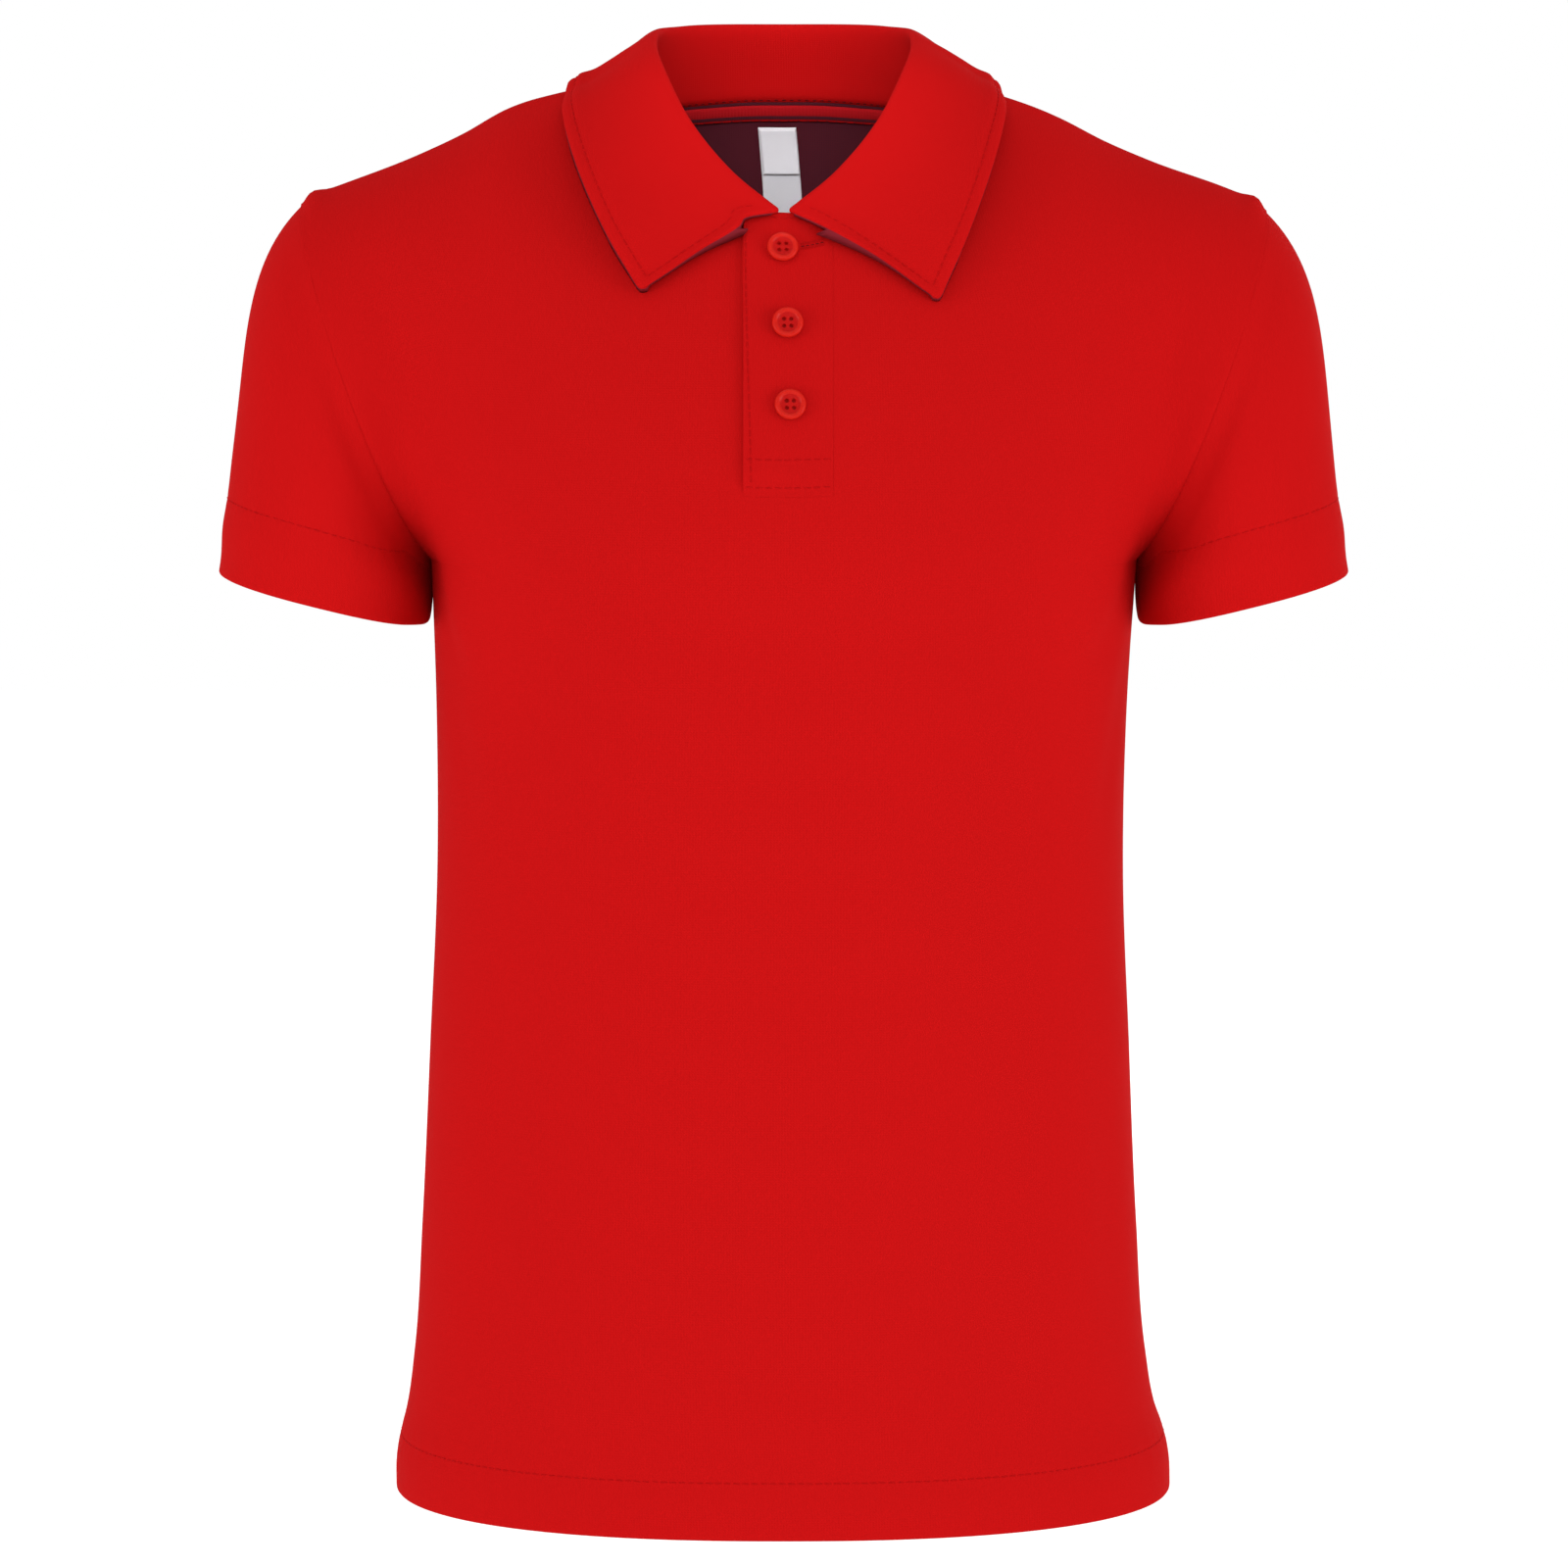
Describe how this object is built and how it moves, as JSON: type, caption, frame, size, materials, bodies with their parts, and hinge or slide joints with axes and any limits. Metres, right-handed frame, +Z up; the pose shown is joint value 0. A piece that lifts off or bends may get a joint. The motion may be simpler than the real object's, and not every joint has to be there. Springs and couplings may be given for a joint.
{
  "type": "polo shirt",
  "caption": "Child's short-sleeved polo shirt with a fold-over collar, a buttoned neck placket and stitched hems, hollow and filled out as if worn.",
  "frame": {"origin": "middle of the neck opening, 4 mm above the points where the shoulder seams meet the collar", "axes": "-Y is the front, +X the wearer's left, +Z up along the body"},
  "size_m": [0.3818, 0.203, 0.4983],
  "materials": {
    "cloth": "fine matt cotton knit",
    "tape": "matt cotton tape",
    "button": "glossy",
    "label": "satin"
  },
  "bodies": {
    "root": {"front": "cloth", "back": "cloth", "sleeve_left": "cloth", "sleeve_right": "cloth", "collar": "cloth", "placket_over": "cloth", "placket_under": "cloth", "neck_tape": "tape", "button_1": "button", "button_2": "button", "button_3": "button", "main_label": "label", "size_label": "label"}
  },
  "joints": []
}
